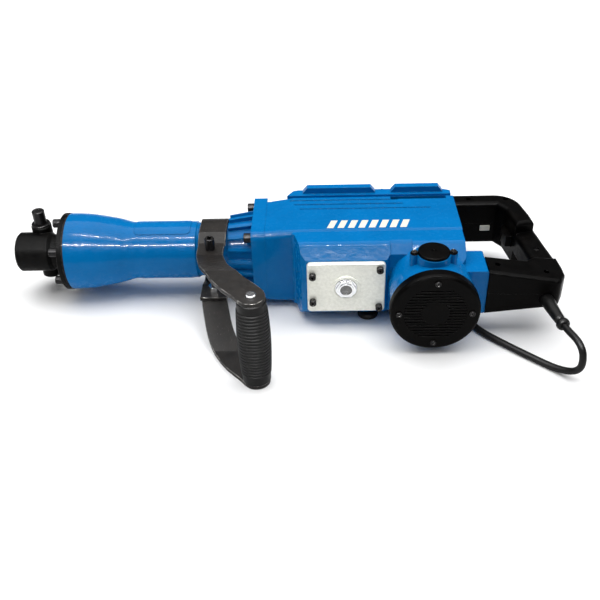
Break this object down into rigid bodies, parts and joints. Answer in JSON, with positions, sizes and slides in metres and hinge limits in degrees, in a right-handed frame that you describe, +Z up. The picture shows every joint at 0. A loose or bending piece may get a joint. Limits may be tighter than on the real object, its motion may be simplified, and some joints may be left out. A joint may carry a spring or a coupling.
{
  "type": "electric demolition hammer",
  "caption": "Heavy electric demolition hammer lying on its side: hex tool socket, flared barrel, swivelling side handle, crank box, side motor, D-handle with trigger and mains lead.",
  "frame": {"origin": "centre of the machine's footprint box on the floor, without the lead", "axes": "+X from the tool socket to the D-handle along the hammer axis, -Y towards the side grip and the motor's end, +Z up as the machine lies on its side"},
  "size_m": [0.7292, 0.444, 0.1306],
  "materials": {
    "blue_paint": "gloss blue enamel on cast aluminium",
    "black_cast": "semi-gloss",
    "black_strap": "satin, edges worn bright",
    "black_screw": "black oxide",
    "black_plastic": "semi-gloss",
    "grip_rubber": "ribbed",
    "seal_rubber": "smooth",
    "cable_rubber": "smooth",
    "cast_aluminium": "fine-blasted casting",
    "steel": "ground",
    "zinc": "bright zinc",
    "copper": "enamelled copper",
    "carbon": "matt",
    "white_plastic": "smooth",
    "gauge_glass": "clear over a dark chamber"
  },
  "bodies": {
    "machine": {"front_cap": "black_cast", "socket_sleeve": "steel", "dust_lip": "seal_rubber", "front_gasket": "seal_rubber", "front_cap_bolts": "black_screw", "barrel": "blue_paint", "barrel_bolts": "black_screw", "guide_front": "steel", "guide_rear": "steel", "air_cylinder": "steel", "stator_core": "steel", "field_coils": "copper", "ball_bearings": "steel", "bearing_plate": "cast_aluminium", "inner_plate": "cast_aluminium", "main_housing": "blue_paint", "crank_cover": "cast_aluminium", "crank_cover_screws": "black_screw", "grease_plug": "zinc", "gauge_window": "gauge_glass", "back_cover": "blue_paint", "back_cover_screws": "black_screw", "tail_cover": "black_plastic", "tail_cover_screws": "black_screw", "brush_covers": "black_plastic", "brush_cover_screws": "black_screw", "brush_holders": "black_plastic", "carbon_brushes": "carbon", "handle_half_upper": "black_plastic", "handle_half_lower": "black_plastic", "handle_screws": "black_screw", "switch_body": "black_plastic", "strain_relief": "cable_rubber", "cord_run": "cable_rubber", "cord_coil": "cable_rubber", "cord_tail": "cable_rubber", "plug_body": "cable_rubber", "plug_pins": "zinc"},
    "side_handle": {"side_handle_band": "black_strap", "side_handle_lower_arm": "black_strap", "side_grip": "grip_rubber", "grip_bolt": "zinc", "clamp_bolt": "black_screw", "clamp_nut": "zinc"},
    "pin_collar": {"pin_collar": "black_screw"},
    "retaining_pin": {"retaining_pin": "black_screw"},
    "impact_bolt": {"impact_bolt": "steel"},
    "striker": {"striker": "steel"},
    "piston": {"piston": "cast_aluminium", "piston_pin": "steel"},
    "connecting_rod": {"connecting_rod": "steel"},
    "crankshaft": {"crankshaft": "steel"},
    "idler_gears": {"idler_gears": "steel"},
    "armature": {"armature_shaft": "steel", "rotor_core": "steel", "rotor_windings": "copper", "commutator": "copper", "cooling_fan": "black_plastic"},
    "trigger": {"trigger": "black_plastic"},
    "lock_button": {"lock_button": "white_plastic"}
  },
  "joints": [
    {"name": "side_handle_swivel", "type": "hinge", "parent": "machine", "child": "side_handle", "pos_m": [-0.088, 0.06725, 0.064], "axis": [1, 0, 0], "continuous": true},
    {"name": "retaining_pin_turn", "type": "hinge", "parent": "machine", "child": "pin_collar", "pos_m": [-0.331, 0.08325, 0.098], "axis": [0, 0, 1], "range_deg": [0, 180]},
    {"name": "retaining_pin_pull", "type": "slide", "parent": "pin_collar", "child": "retaining_pin", "axis": [0, 0, 1], "range_m": [0, 0.006], "stiffness_N_per_m": 900, "springref_m": -0.004},
    {"name": "trigger_press", "type": "slide", "parent": "machine", "child": "trigger", "axis": [1, 0, 0], "range_m": [0, 0.0045], "stiffness_N_per_m": 500, "springref_m": -0.003},
    {"name": "lock_button_press", "type": "slide", "parent": "machine", "child": "lock_button", "axis": [0, 1, 0], "range_m": [0, 0.0015], "stiffness_N_per_m": 400, "springref_m": -0.002},
    {"name": "crankshaft_spin", "type": "hinge", "parent": "machine", "child": "crankshaft", "pos_m": [0.0875, 0.04625, 0.064], "axis": [0, -1, 0], "continuous": true},
    {"name": "idler_spin", "type": "hinge", "parent": "machine", "child": "idler_gears", "pos_m": [0.14706, 0.04625, 0.05671], "axis": [0, -1, 0], "continuous": true},
    {"name": "armature_spin", "type": "hinge", "parent": "machine", "child": "armature", "pos_m": [0.1945, -0.01775, 0.064], "axis": [0, -1, 0], "continuous": true},
    {"name": "piston_slide", "type": "slide", "parent": "machine", "child": "piston", "axis": [1, 0, 0], "range_m": [-0.01982, 0.01618]},
    {"name": "connecting_rod_swing", "type": "hinge", "parent": "piston", "child": "connecting_rod", "pos_m": [-0.00068, 0.06725, 0.064], "axis": [0, 1, 0], "range_deg": [0, 23]},
    {"name": "striker_slide", "type": "slide", "parent": "machine", "child": "striker", "axis": [1, 0, 0], "range_m": [0, 0.03]},
    {"name": "impact_bolt_slide", "type": "slide", "parent": "machine", "child": "impact_bolt", "axis": [1, 0, 0], "range_m": [-0.0085, 0.009]}
  ],
  "couplings": [
    {"joint": "idler_spin", "follows": "crankshaft_spin", "ratio": -2.75},
    {"joint": "armature_spin", "follows": "crankshaft_spin", "ratio": 10.788}
  ]
}
